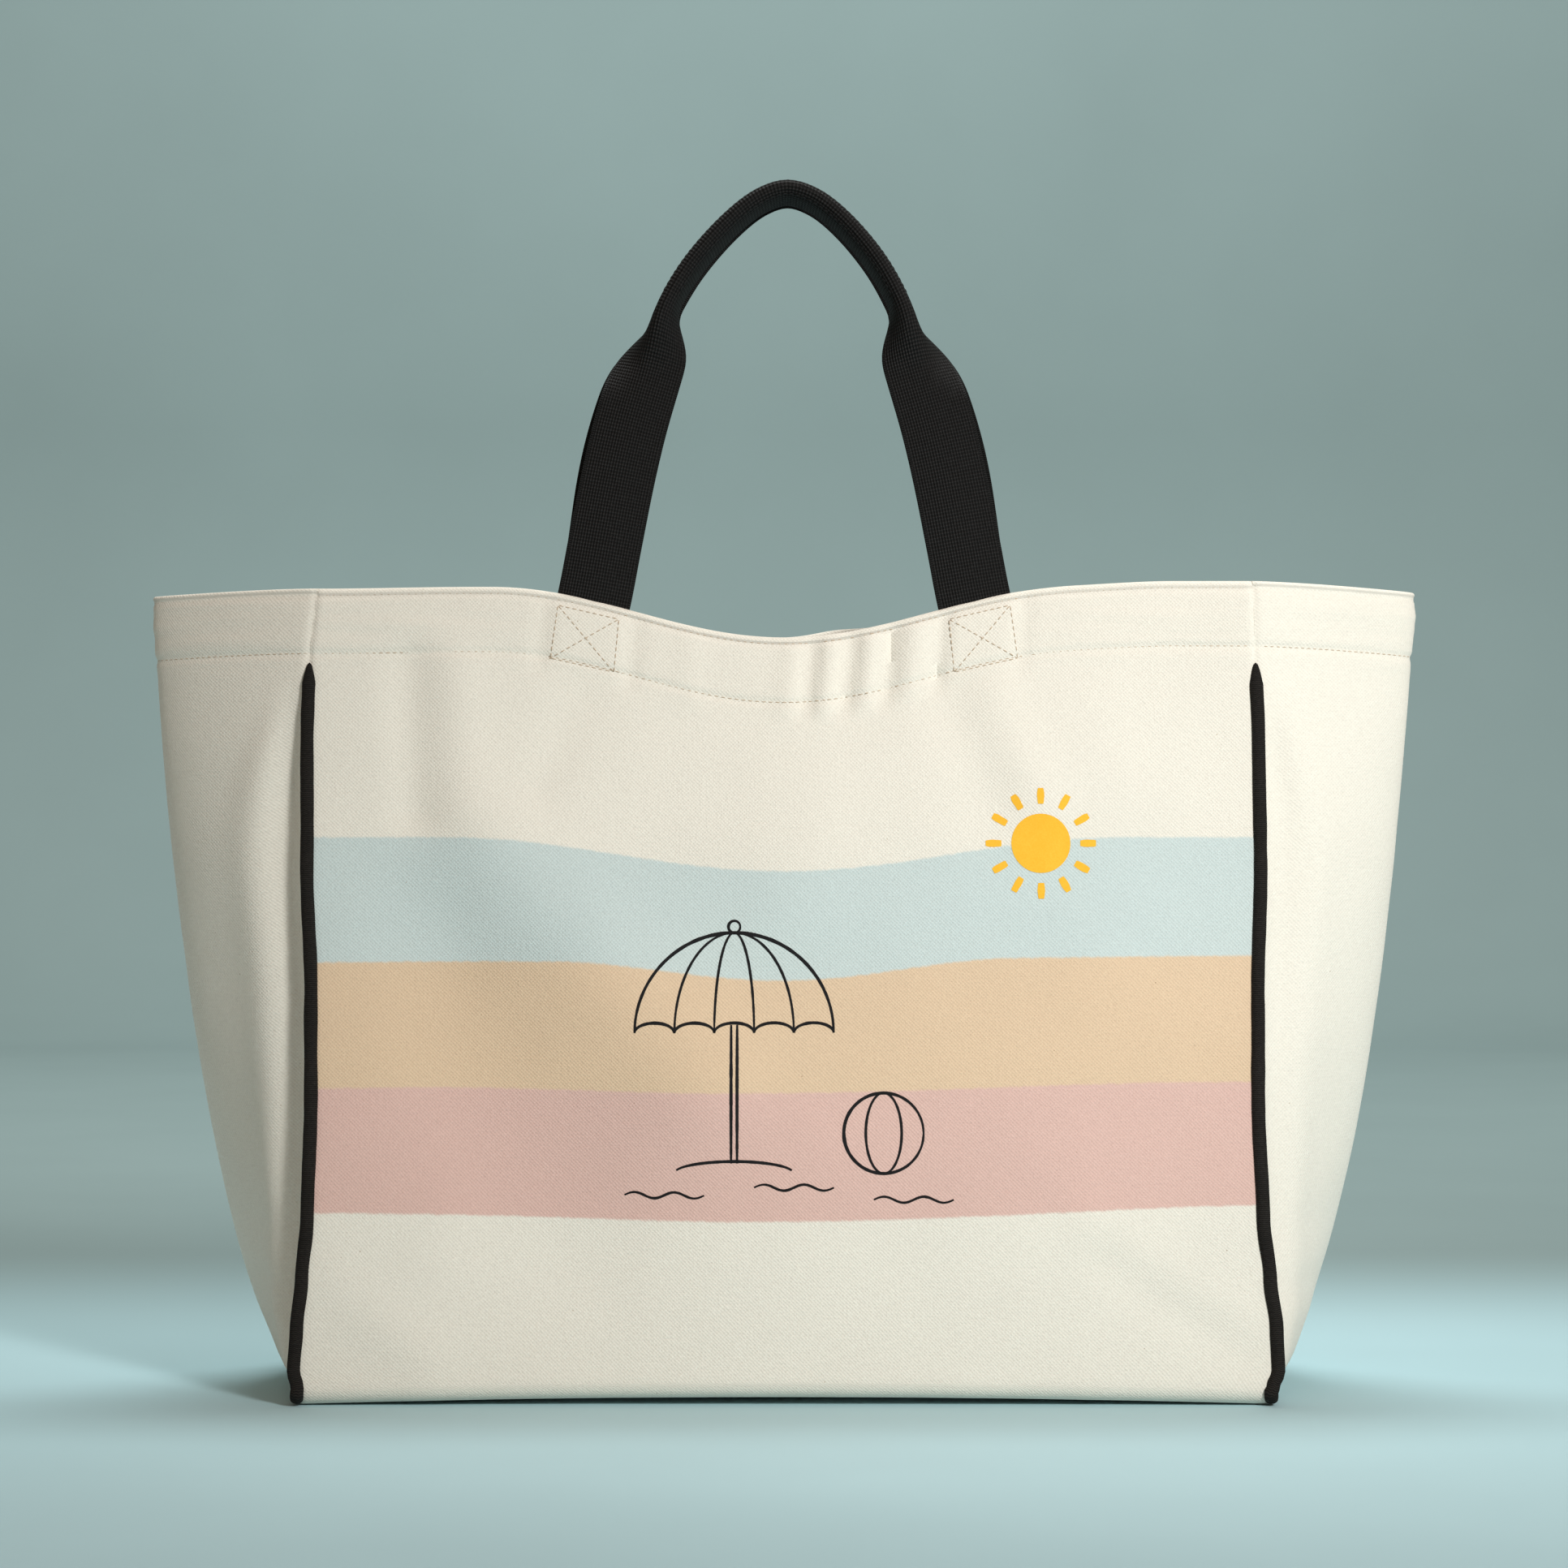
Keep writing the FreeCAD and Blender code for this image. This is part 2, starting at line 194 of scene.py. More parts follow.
def seam_shift(z, side_x):
    """Sideways wander of a bound seam."""
    heights = [0, 9, 17, 38, 62, 92, 146, 200, 272, 337, 372, 411]
    if side_x == LEFT:
        shifts = [2.0, 2.6, 4.6, 3.4, 1.2, -1.0, -2.0, -1.2, 2.0, 2.9, 2.3, -0.6]
    else:
        shifts = [2.5, 3.6, 6.6, 6.0, 3.2, 0.2, -1.4, -0.7, 1.8, 1.7, 0.8, 0.4]
    z = min(max(z / MM, 0.0), 410.9)
    i = max(k for k in range(len(heights) - 1) if heights[k] <= z)
    t = (z - heights[i]) / (heights[i + 1] - heights[i])
    t = t * t * (3 - 2 * t)
    return (shifts[i] + (shifts[i + 1] - shifts[i]) * t) * MM


def hem_puff(drop):
    """Swell of the hem between its two rows of stitches, and the dents along them."""
    s = sizes()
    between = (drop - s.top_row) / (s.low_row - s.top_row)
    puff = 0.7 * MM * math.sin(math.pi * between) ** 0.6 if 0 < between < 1 else 0.0
    dents = hump(drop, s.top_row, 1.3 * MM) + hump(drop, s.low_row, 1.5 * MM)
    return puff - 0.75 * MM * dents


def front_swell(x, z):
    """How far the front cloth stands off its flat place."""
    s = sizes()
    drop = rim_at(x, FRONT) - z
    inside = smooth(0, 0.10, HALF_WIDTH - abs(x))
    free = smooth(0.0, 0.16, z) * smooth(0.0, 0.12, drop)
    swell = s.belly * bell((x - 0.035) / 0.30) * inside * free
    swell += fold(x, z, (-168, 300), (-24, 140), 36, 5.5) * inside
    swell -= fold(x, z, (-215, 250), (-100, 60), 52, 6.0) * inside
    swell -= fold(x, z, (-192, 388), (-186, 280), 11, 2.2)
    swell += fold(x, z, (-168, 388), (-160, 285), 14, 2.0)
    swell += fold(x, z, (101, 366), (136, 290), 14, 1.5) - fold(x, z, (82, 366), (108, 286), 16, 1.3)
    swell -= fold(x, z, (-101, 362), (-128, 300), 13, 1.2)
    swell += fold(x, z, (10, 350), (4, 240), 30, 1.6)
    swell -= fold(x, z, (148, 80), (236, 16), 12, 0.9) - fold(x, z, (140, 98), (236, 34), 14, 0.7)
    swell += fold(x, z, (-236, 70), (-170, 16), 14, 1.2)
    swell += 1.0 * MM * ruffle(1, x * 11, z * 11) * free + 0.28 * MM * ruffle(2, x * 38, z * 38)
    if drop < 0.05:
        held = smooth(0.0, 0.006, drop) * smooth(0.048, 0.033, drop)
        for middle, width, height in ((3, 6.0, 1.2), (13, 3.4, -1.8), (22, 4.4, 2.3), (33, 3.2, -2.2), (43, 4.2, 2.2),
                                      (54, 3.2, -2.6), (66, 5.4, 1.8), (80, 3.2, -2.4), (-48, 8, 0.8),
                                      (-77, 3.4, -1.2), (122, 3.2, -1.2), (-123, 3.2, -1.1)):
            lean = 0.10 * (drop - 0.018)
            swell += height * MM * hump(x + lean, middle * MM, width * MM) * held
        swell += 0.5 * MM * ruffle(3, x * 16, z * 160) * held * smooth(0.10, 0.16, abs(x))
        swell += hem_puff(drop)
        sewn = smooth(0.022, 0.016, abs(abs(x) - 0.101)) * smooth(0.002, 0.010, drop)
        swell += 0.5 * MM * sewn * smooth(0.040, 0.032, drop)
    return swell


def back_swell(x, z):
    s = sizes()
    drop = rim_at(x, BACK) - z
    inside = smooth(0, 0.10, HALF_WIDTH - abs(x))
    free = smooth(0.0, 0.16, z) * smooth(0.0, 0.12, drop)
    swell = 0.8 * s.belly * bell((x + 0.03) / 0.30) * inside * free
    swell += fold(x, z, (150, 290), (40, 130), 36, 2.6) * inside
    swell -= fold(x, z, (-60, 250), (-170, 110), 34, 2.6) * inside
    swell += fold(x, z, (-101, 362), (-130, 280), 14, 1.4) - fold(x, z, (101, 362), (128, 290), 14, 1.3)
    swell += 1.2 * MM * ruffle(4, x * 10, z * 10) * free + 0.28 * MM * ruffle(5, x * 36, z * 36)
    if drop < 0.05:
        held = smooth(0.0, 0.006, drop) * smooth(0.048, 0.033, drop)
        for middle, width, height in ((-40, 5, 1.2), (-52, 4, -1.1), (-66, 5, 1.1), (30, 5, 0.9), (45, 4, -0.9)):
            swell += height * MM * hump(x, middle * MM, width * MM) * held
        swell += 0.5 * MM * ruffle(6, x * 16, z * 160) * held * smooth(0.10, 0.16, abs(x))
        swell += hem_puff(drop)
    return swell


def swell_at(x, z, side):
    swell = front_swell(x, z) if side == FRONT else back_swell(x, z)
    near = HALF_WIDTH - abs(x)
    return swell - 1.1 * MM * hump(near, 0.0, 1.6 * MM)


def panel_x(part, z):
    """Sideways place on a panel at part, from -1 to 1, following the wandering seams."""
    if part < 0:
        return part * HALF_WIDTH - seam_shift(z, LEFT) * smooth(0.55, 1.0, -part)
    return part * HALF_WIDTH + seam_shift(z, RIGHT) * smooth(0.55, 1.0, part)


def edge_lift(x):
    """Rise of the bottom edge between the corners."""
    return 3.4 * MM * (1 - (x / HALF_WIDTH) ** 2)


def panel_point(x, z, side, proud=0.0):
    """Point on the outside of the front or back cloth."""
    s = sizes()
    r = s.base_bend
    bottom = edge_lift(x)
    y = depth_at(z) + swell_at(x, z, side) + proud
    if z < r + bottom:
        turn = math.asin(min(1.0, (r + bottom - z) / r))
        y -= r * (1 - math.cos(turn))
    return Vector((x, side * y, z))


def body_point(part, kind, value, side=FRONT):
    """Point on the body cloth, which runs in one piece from the front hem under the base to the back hem."""
    s = sizes()
    x = part * HALF_WIDTH
    rim = rim_at(x, side)
    r, f = s.base_bend, s.rim_fold
    if kind == "base":
        lift = edge_lift(x) * smooth(0.45, 1.0, abs(value)) * 0.9
        lift += 0.5 * MM * (1 + ruffle(8, x * 14, value * 3)) * smooth(0.0, 0.2, 1 - abs(part))
        return Vector((panel_x(part, 0.0), value * (HALF_BASE - r), lift))
    if kind == "bend":
        top = panel_point(x, r + edge_lift(x), side)
        y = abs(top.y) - r + r * math.cos(value)
        return Vector((panel_x(part, 0.0), side * y, edge_lift(x) * 0.98 + r - r * math.sin(value)))
    top = rim - f
    if kind == "wall":
        low = r + edge_lift(x)
        z = low + (top - low) * value
        point = panel_point(x, z, side)
        point.x = panel_x(part, z)
        return point
    outer = panel_point(x, top, side)
    if kind == "fold":
        y = abs(outer.y) - f + f * math.cos(value)
        return Vector((x, side * y, top + f * math.sin(value)))
    z = top - value
    y = depth_at(z) + swell_at(x, z, side) * smooth(s.hem, 0.0, value) - 2 * f
    middle = 0.101 if side == FRONT else 0.1045
    sewn = smooth(0.0285, 0.0215, abs(abs(x) - middle)) * smooth(0.0, 0.004, value)
    return Vector((x * (1 - 0.004 * smooth(0, 0.004, value)), side * (y - 1.1 * MM * sewn), z))


def gusset_flat(t, z, side_x):
    """Point and outward direction on a gusset, t from -1 at the front seam to 1 at the back seam."""
    half, reach = depth_at(z), reach_at(z)
    soft = 0.10 + 0.20 * z / RIM
    out = 1 - (math.sqrt(t * t + soft * soft) - soft) / (math.sqrt(1 + soft * soft) - soft)
    lean = 0.16 * out * (1 - out)
    shift = seam_shift(z, side_x)
    near = smooth(1.0, 0.5, 1 - abs(t))
    x = HALF_WIDTH + shift * near + shift * (1 - near) * (1 - out)
    point = Vector((side_x * (x + reach * out), half * (t + lean * t), z))
    slope = reach * t / math.sqrt(t * t + soft * soft) / (math.sqrt(1 + soft * soft) - soft)
    normal = Vector((side_x * half, slope, 0.0)).normalized()
    return point, normal


def gusset_rim(t, side_x):
    """Height of the rim over a gusset, meeting the front and back rims at its seams."""
    front = rim_at(side_x * HALF_WIDTH, FRONT) - RIM
    return RIM - 3 * MM * smooth(1.0, 0.0, abs(t)) + front * (1 - t) / 2


def gusset_swell(t, z, side_x):
    edge = (1 - abs(t)) * GUSSET_HALF
    drop = gusset_rim(t, side_x) - z
    low = smooth(0.372, 0.30, z) * smooth(0.0, 0.05, z)
    dip = 6.5 if side_x == LEFT else 3.6
    wide = 0.45 + 0.55 * smooth(0.372, 0.27, z)
    swell = -dip * MM * hump(edge, 0.0125 * wide, 0.0095 * wide) * low
    swell += 0.35 * dip * MM * hump(edge, 0.030 * wide, 0.013 * wide) * low
    swell += 2.4 * MM * math.sin(math.pi * min(1.0, edge / GUSSET_HALF)) * smooth(0.0, 0.1, z) * smooth(0.0, 0.15, drop)
    swell += 0.9 * MM * ruffle(11 + side_x, t * 1.3, z * 9) + 0.25 * MM * ruffle(13 + side_x, t * 3.4, z * 34)
    swell *= smooth(0.0, 0.004, edge)
    if drop < 0.05:
        held = smooth(0.0, 0.006, drop) * smooth(0.048, 0.033, drop) * smooth(0.0, 0.015, edge)
        swell += 0.6 * MM * ruffle(15 + side_x, t * 1.6, z * 170) * held
        swell += hem_puff(drop)
    return swell - 1.1 * MM * hump(edge, 0.0, 1.6 * MM)


def gusset_point(t, z, side_x, proud=0.0):
    point, normal = gusset_flat(t, z, side_x)
    return point + normal * (gusset_swell(t, z, side_x) + proud)


# ---------------------------------------------------------------- mesh work

def spaced(*stretches):
    """Rising numbers: each stretch is (from, to, steps)."""
    values = [stretches[0][0]]
    for low, high, steps in stretches:
        values += [low + (high - low) * (k + 1) / steps for k in range(steps)]
    return values


def woven_sheet(bm, columns, rows, place, cover=None, flip=False):
    """Grid of quads whose corners go where place(column, row) says, with cover(column, row, point) as its UV."""
    layer = bm.loops.layers.uv.get("Cloth") or bm.loops.layers.uv.new("Cloth")
    nx, ny = len(columns) - 1, len(rows) - 1
    made = bmesh.ops.create_grid(bm, x_segments=nx, y_segments=ny, size=1.0)["verts"]
    index, covers = {}, {}
    for v in made:
        i, j = round((v.co.x + 1) / 2 * nx), round((v.co.y + 1) / 2 * ny)
        index[v] = (i, j)
    faces = list({f for v in made for f in v.link_faces})
    for v, (i, j) in index.items():
        v.co = place(columns[i], rows[j])
        covers[v] = cover(columns[i], rows[j], v.co) if cover else (0.0, 0.0)
    for face in faces:
        face.smooth = True
        for loop in face.loops:
            loop[layer].uv = covers[loop.vert]
    if flip:
        bmesh.ops.reverse_faces(bm, faces=faces)
    return made


def piece(name, bm, material, inner=None, wall=None, soften=None, merge=None):
    """Finished object from a mesh, with a wall thickness and softened edges where asked."""
    if merge:
        bmesh.ops.remove_doubles(bm, verts=bm.verts[:], dist=merge)
        bmesh.ops.recalc_face_normals(bm, faces=bm.faces[:])
    mesh = bpy.data.meshes.new(name)
    bm.to_mesh(mesh)
    bm.free()
    thing = bpy.data.objects.new(name, mesh)
    bpy.context.scene.collection.objects.link(thing)
    mesh.materials.append(material)
    if inner:
        mesh.materials.append(inner)
    if wall:
        made = thing.modifiers.new("Wall", "SOLIDIFY")
        made.thickness = wall
        made.offset = -1.0 if inner or soften is None else 0.0
        if inner:
            made.material_offset = 1
    if soften:
        made = thing.modifiers.new("Soft edge", "BEVEL")
        made.width = soften
        made.segments = 2
        made.limit_method = "ANGLE"
        made.angle_limit = math.radians(50)
        made.harden_normals = True
    return thing


def stitches(bm, line, pitch, size, start=0.5):
    """Small rounded stitches along a line of (point, outward direction)."""
    long, wide, high = size
    grow = Matrix.Diagonal((long / 2, wide / 2, high / 2, 1.0))
    gone, due, places = 0.0, start * pitch, []
    for (a, na), (b, nb) in zip(line, line[1:]):
        step = (b - a).length
        while step > 1e-9 and gone + step >= due:
            t = (due - gone) / step
            along = (b - a).normalized()
            across = na.lerp(nb, t).cross(along).normalized()
            turn = Matrix((along, across, along.cross(across))).transposed().to_4x4()
            places.append(Matrix.Translation(a.lerp(b, t)) @ turn @ grow)
            due += pitch
        gone += step
    for first in range(0, len(places), 24):
        few = bmesh.new()
        for where in places[first:first + 24]:
            bmesh.ops.create_uvsphere(few, u_segments=6, v_segments=4, radius=1.0, matrix=where)
        for face in few.faces:
            face.smooth = True
        batch = bpy.data.meshes.new("Stitches")
        few.to_mesh(batch)
        few.free()
        bm.from_mesh(batch)
        bpy.data.meshes.remove(batch)


# ---------------------------------------------------------------- shader maths

def connect(tree, entry, term):
    if isinstance(term, Signal):
        tree.links.new(term.socket, entry)
    else:
        entry.default_value = term


def maths(tree, operation, *terms):
    node = tree.nodes.new("ShaderNodeMath")
    node.operation = operation
    for entry, term in zip(node.inputs, terms):
        connect(tree, entry, term)
    return Signal(tree, node.outputs[0])


class Signal:
    """A node's output, which takes part in sums as a number does."""

    def __init__(self, tree, socket):
        self.tree, self.socket = tree, socket

    def __add__(self, other):
        return maths(self.tree, "ADD", self, other)

    __radd__ = __add__

    def __sub__(self, other):
        return maths(self.tree, "SUBTRACT", self, other)

    def __rsub__(self, other):
        return maths(self.tree, "SUBTRACT", other, self)

    def __mul__(self, other):
        return maths(self.tree, "MULTIPLY", self, other)

    __rmul__ = __mul__

    def __truediv__(self, other):
        return maths(self.tree, "DIVIDE", self, other)

    def __pow__(self, other):
        return maths(self.tree, "POWER", self, other)

    def sine(self):
        return maths(self.tree, "SINE", self)

    def cosine(self):
        return maths(self.tree, "COSINE", self)

    def least(self, other):
        return maths(self.tree, "MINIMUM", self, other)

    def most(self, other):
        return maths(self.tree, "MAXIMUM", self, other)

    def bell(self):
        return (self.least(1.0).most(-1.0) * math.pi).cosine() * 0.5 + 0.5


class Finish:
    """A material under construction."""

    def __init__(self, name, **shader):
        self.material = bpy.data.materials.new(name)
        self.material.use_nodes = True
        self.tree = self.material.node_tree
        self.tree.nodes.clear()
        self.shader = self.node("ShaderNodeBsdfPrincipled", inputs={k.replace("_", " "): v for k, v in shader.items()})
        self.node("ShaderNodeOutputMaterial", inputs={"Surface": self.shader})

    def node(self, kind, settings=None, inputs=None, output=0):
        node = self.tree.nodes.new(kind)
        for key, value in (settings or {}).items():
            setattr(node, key, value)
        for key, value in (inputs or {}).items():
            connect(self.tree, node.inputs[key], value)
        return Signal(self.tree, node.outputs[output] if node.outputs else None)

    def feed(self, **inputs):
        for key, value in inputs.items():
            connect(self.tree, self.shader.socket.node.inputs[key.replace("_", " ")], value)

    def blend(self, factor, first, second, kind="MIX"):
        def as_colour(c):
            return c if isinstance(c, Signal) else (*tuple(c)[:3], 1.0)
        return self.node("ShaderNodeMix", {"data_type": "RGBA", "blend_type": kind},
                         {0: factor, 6: as_colour(first), 7: as_colour(second)}, output=2)

    def grey(self, level):
        return self.node("ShaderNodeCombineColor", inputs={0: level, 1: level, 2: level})

    def cloth(self):
        """The piece's own UV, in metres, as two numbers."""
        both = self.node("ShaderNodeUVMap", {"uv_map": "Cloth"})
        apart = self.node("ShaderNodeSeparateXYZ", inputs={0: both})
        return apart, Signal(self.tree, apart.socket.node.outputs[1])

    def point(self, x, y, z=0.0):
        return self.node("ShaderNodeCombineXYZ", inputs={0: x, 1: y, 2: z})

    def noise(self, vector, scale=1.0, detail=2.0):
        return self.node("ShaderNodeTexNoise", {"noise_dimensions": "3D"},
                         {"Vector": vector, "Scale": scale, "Detail": detail, "Roughness": 0.55})

    def step(self, value, low, high):
        return self.node("ShaderNodeMapRange", {"interpolation_type": "SMOOTHSTEP"},
                         {"Value": value, 1: low, 2: high, 3: 0.0, 4: 1.0})

    def bump(self, height, strength, distance):
        self.feed(Normal=self.node("ShaderNodeBump",
                                   inputs={"Strength": strength, "Distance": distance, "Height": height}))


def canvas_finish(name, base, printed=False):
    """Plain-woven cotton, with thick and thin yarns, faint mottling and flecks of seed."""
    made = Finish(name, Roughness=0.92, Specular_IOR_Level=0.18, Sheen_Weight=0.12, Sheen_Roughness=0.6)
    u, v = made.cloth()
    yarn = sizes().yarn
    weft = made.noise(made.point(u * 190, v * (0.9 / yarn)), 1.0, 2.0)
    warp = made.noise(made.point(u * (0.9 / yarn), v * 190, 3.0), 1.0, 2.0)
    wobble = (made.noise(made.point(u, v, 5.0), 60.0, 1.0) - 0.5) * 1.2
    cross = (u * (math.pi / yarn) + wobble).sine() * (v * (math.pi / yarn) + wobble).sine()
    grain = made.noise(made.point(u, v, 4.0), 520.0, 2.0)
    height = cross * 0.42 + weft * 0.9 + warp * 0.7 + grain * 0.9
    made.bump(height, 0.6, 0.35 * MM)
    colour_now = base
    if printed:
        c = colours()
        edge = (made.noise(made.point(u, v, 1.0), 260.0, 2.0) - 0.5) * 1.6 * MM
        sky_top = 0.283 - (u / 0.17).bell() * 0.017 + edge
        sky_low = 0.2215 - (u / 0.12).bell() * 0.0105 + u * 0.0075 + edge
        sand_low = 0.1585 - (u / 0.20).bell() * 0.0035 + u * 0.0067 + edge
        shell_low = 0.097 - (u / 0.26).bell() * 0.006 + u * 0.0083 + edge
        soft = 0.9 * MM
        marks = [made.step(line - v, -soft, soft) for line in (sky_top, sky_low, sand_low, shell_low)]
        colour_now = made.blend(marks[0], base, c.sky)
        colour_now = made.blend(marks[1], colour_now, c.sand)
        colour_now = made.blend(marks[2], colour_now, c.shell)
        colour_now = made.blend(marks[3], colour_now, base)
    mottle = made.noise(made.point(u, v, 9.0), 16.0, 4.0)
    yarns = (grain - 0.5) * 0.10 + (weft - 0.5) * 0.11 + (warp - 0.5) * 0.09 + cross * 0.03
    level = 0.965 + (mottle - 0.5) * 0.07 + yarns
    colour_now = made.blend(1.0, colour_now, made.grey(level), "MULTIPLY")
    cell = made.node("ShaderNodeTexVoronoi", inputs={"Vector": made.point(u, v), "Scale": 95.0})
    kept = made.node("ShaderNodeSeparateColor", inputs={0: Signal(made.tree, cell.socket.node.outputs[1])})
    fleck = (1 - made.step(cell, 0.022, 0.045)) * made.step(kept, 0.78, 0.80)
    colour_now = made.blend(fleck * 0.55, colour_now, (0.30, 0.19, 0.10))
    made.feed(Base_Color=colour_now)
    return made.material


def webbing_finish():
    """Black webbing with a dotted slanting weave and a plain selvedge, its raised yarns painted lighter as highlight.
    """
    made = Finish("Black_webbing", Roughness=0.62, Specular_IOR_Level=0.17)
    c, s = made.cloth()
    p = 1.45 * MM
    dots = ((c + s * 0.8) * (math.pi / p)).sine() * ((c - s * 0.8) * (math.pi / p)).sine()
    rows = (c * (2 * math.pi / p)).sine()
    fuzz = made.noise(made.point(c * 900, s * 250), 1.0, 2.0)
    edge = made.step(maths(made.tree, "ABSOLUTE", c), 0.0168, 0.0178)
    pattern = (dots * 0.75 + rows * 0.25) * (1 - edge) + (s * (2 * math.pi / (1.1 * MM))).sine() * edge * 0.5
    made.bump(pattern * 0.9 + fuzz * 0.5, 0.9, 0.5 * MM)
    # Painted highlight: colour follows the weave's height, so raised yarns are lighter; the fuzz adds random fibre
    # tone.
    level = made.step(pattern + (fuzz - 0.5), -0.6, 1.0)
    made.feed(Base_Color=made.blend(level, [x * 0.3 for x in colours().webbing], [x * 2.2 for x in colours().webbing]),
              Roughness=0.70 - level * 0.14)
    return made.material


def tape_finish():
    """Black cotton tape, woven across its width."""
    made = Finish("Seam_tape", Roughness=0.8, Specular_IOR_Level=0.18)
    c, s = made.cloth()
    ribs = (s * (2 * math.pi / (1.0 * MM)) + (c * (math.pi / (0.9 * MM))).sine() * 0.9).sine()
    fuzz = made.noise(made.point(c * 700, s * 700), 1.0, 3.0)
    worn = made.noise(made.point(c, s, 2.0), 40.0, 3.0)
    made.bump(ribs * 0.6 + fuzz, 0.6, 0.3 * MM)
    level = made.step(ribs * 0.35 + fuzz + (worn - 0.5) * 0.6, 0.1, 1.0)
    made.feed(Base_Color=made.blend(level, [x * 0.35 for x in colours().tape], [x * 1.9 for x in colours().tape]))
    return made.material


def thread_finish(name, base, shine=0.25):
    """Twisted sewing thread, with a little change of shade along the row."""
    made = Finish(name, Roughness=0.75, Specular_IOR_Level=shine)
    where = made.node("ShaderNodeTexCoord", output=3)
    shade = made.noise(where, 420.0, 2.0)
    twist = made.node("ShaderNodeTexWave", {"bands_direction": "DIAGONAL"},
                      {"Vector": where, "Scale": 900.0, "Distortion": 1.0})
    made.bump(twist, 0.3, 0.1 * MM)
    made.feed(Base_Color=made.blend(shade, [x * 0.8 for x in base], [min(1.0, x * 1.15) for x in base]))
    return made.material


def print_finish(name, base, light=None):
    """Printing ink sunk in the weave: slightly uneven, and paler where a yarn stands up."""
    made = Finish(name, Roughness=0.8, Specular_IOR_Level=0.2)
    where = made.node("ShaderNodeTexCoord", output=3)
    grain = made.noise(where, 1100.0, 2.0)
    wash = made.noise(where, 90.0, 2.0)
    deep = [x * 0.9 for x in base]
    pale = light or [min(1.0, x * 1.5 + 0.004) for x in base]
    level = made.step((grain - 0.5) * 0.9 + (wash - 0.5) * 0.5 + 0.35, 0.0, 1.2)
    made.bump(grain, 0.35, 0.15 * MM)
    made.feed(Base_Color=made.blend(level, deep, pale))
    return made.material


# ---------------------------------------------------------------- pieces

def ready(operator, *made):
    operator.report({"INFO"}, "made " + ", ".join(thing.name for thing in made))
    return {"FINISHED"}


def edge_columns(middle_steps, half):
    """Columns from -1 to 1 on a cloth of that half width, closer together beside the seams."""
    near = [0.0, 0.4, 0.9, 1.6, 2.6, 4.2, 6.5, 9.5]
    ends = [1 - n * MM / half for n in near]
    inner = ends[-1]
    middle = [-inner + 2 * inner * k / middle_steps for k in range(1, middle_steps)]
    return [-e for e in ends] + middle + ends[::-1]


class BAG_OT_body(bpy.types.Operator):
    """Front, base and back, one cut of canvas with its hems turned in"""
    bl_idname = "beach_bag.body"
    bl_label = "Body cloth"

    def execute(self, context):
        s, c = sizes(), colours()
        rows = []
        for side in (FRONT, BACK):
            turned = [("hem", v) for v in spaced((s.hem - s.rim_fold, 0.006, 8), (0.006, 0.0008, 3))]
            turned += [("fold", math.pi * (1 - k / 8)) for k in range(9)]
            high = [1 - v / 0.40 for v in spaced((0.0015, 0.048, 32))]
            walls = [("wall", v) for v in high + [high[-1] * (1 - k / 92) for k in range(1, 93)]]
            bend = [("bend", math.pi / 2 * k / 7) for k in range(1, 8)]
            run = [(kind, value, side) for kind, value in turned + walls + bend]
            rows += run if side == FRONT else [("base", v, FRONT) for v in spaced((-0.92, 0.92, 22))] + run[::-1]

        def place(part, row):
            return body_point(part, *row)

        def cover(part, row, point):
            kind, value, side = row
            x = part * HALF_WIDTH
            run = {"wall": point.z, "base": -HALF_BASE - point.y, "bend": 0.008 - value * 0.008,
                   "fold": RIM + 0.01 + 0.0024 * value, "hem": RIM + 0.03 + value}[kind]
            if side == BACK and kind != "base":
                run = -2 * HALF_BASE - run
            return x, run

        bm = bmesh.new()
        woven_sheet(bm, edge_columns(118, HALF_WIDTH), rows, place, cover, flip=True)
        # The inside faces take the canvas painted darker and warmer as shade inside the bag.
        body = piece("body_cloth", bm, canvas_finish("Printed_canvas", c.canvas, printed=True),
                     inner=canvas_finish("Plain_canvas", c.shaded_inside), wall=s.cloth, soften=0.25 * MM)
        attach(body, "bag")
        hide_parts("front_panel", "base_panel", "back_panel", "front_hem", "back_hem")
        return ready(self, body)


